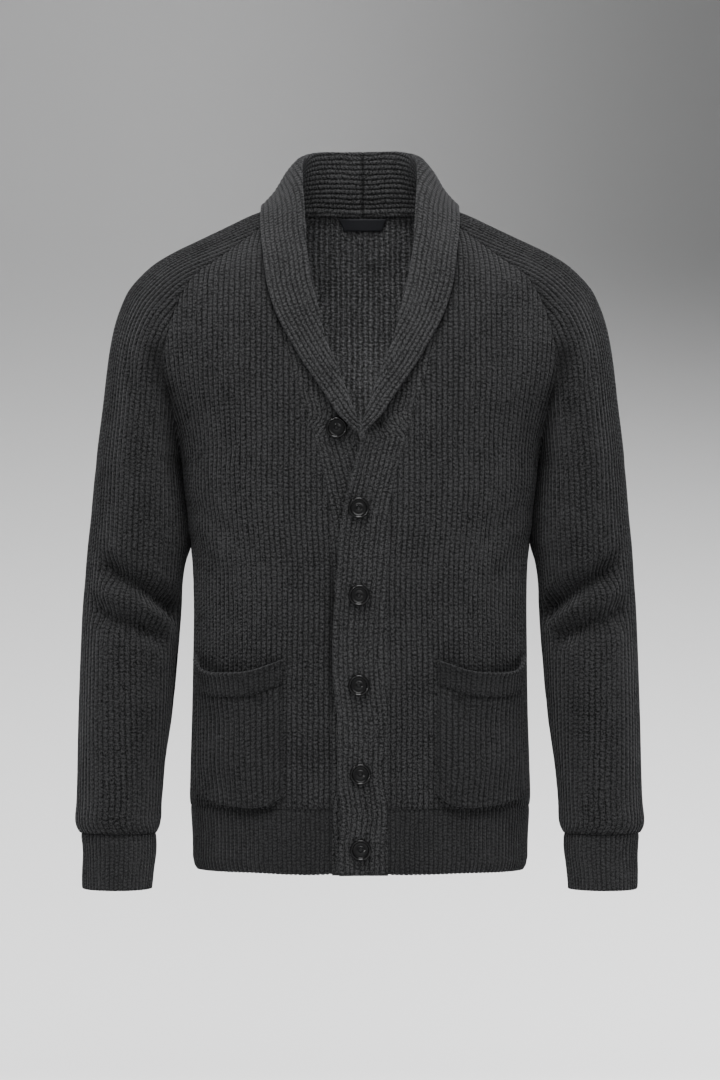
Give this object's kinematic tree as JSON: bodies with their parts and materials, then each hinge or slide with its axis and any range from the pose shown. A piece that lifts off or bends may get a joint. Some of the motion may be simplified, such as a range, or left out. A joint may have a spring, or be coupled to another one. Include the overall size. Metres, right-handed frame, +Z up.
{
  "type": "shawl collar cardigan",
  "caption": "Chunky ribbed wool cardigan with a rolling shawl collar, raglan sleeves, a buttoned front and two patch pockets, hollow as worn.",
  "frame": {"origin": "middle of the neck opening at the height of the shoulder points, where the wearer's shoulders hold the cardigan", "axes": "+X to the wearer's left, +Y to the wearer's back, +Z up"},
  "size_m": [0.5918, 0.247, 0.7741],
  "materials": {
    "body_rib": "ribbed knit wool",
    "sleeve_rib": "ribbed knit wool",
    "rib_welt": "close rib knit wool",
    "collar_rib": "ribbed knit wool",
    "pocket_rib": "ribbed knit wool",
    "button": "polished",
    "label": "woven"
  },
  "bodies": {
    "root": {"back": "body_rib", "button_1": "button", "button_2": "button", "button_3": "button", "button_4": "button", "button_5": "button", "button_6": "button", "collar_band_left": "collar_rib", "collar_band_right": "collar_rib", "cuff_left": "rib_welt", "cuff_right": "rib_welt", "front_left": "body_rib", "front_right": "body_rib", "neck_label": "label", "pocket_left": "pocket_rib", "pocket_right": "pocket_rib", "pocket_welt_left": "rib_welt", "pocket_welt_right": "rib_welt", "sleeve_left": "sleeve_rib", "sleeve_right": "sleeve_rib", "waistband_back": "rib_welt", "waistband_left": "rib_welt", "waistband_right": "rib_welt"}
  },
  "joints": []
}
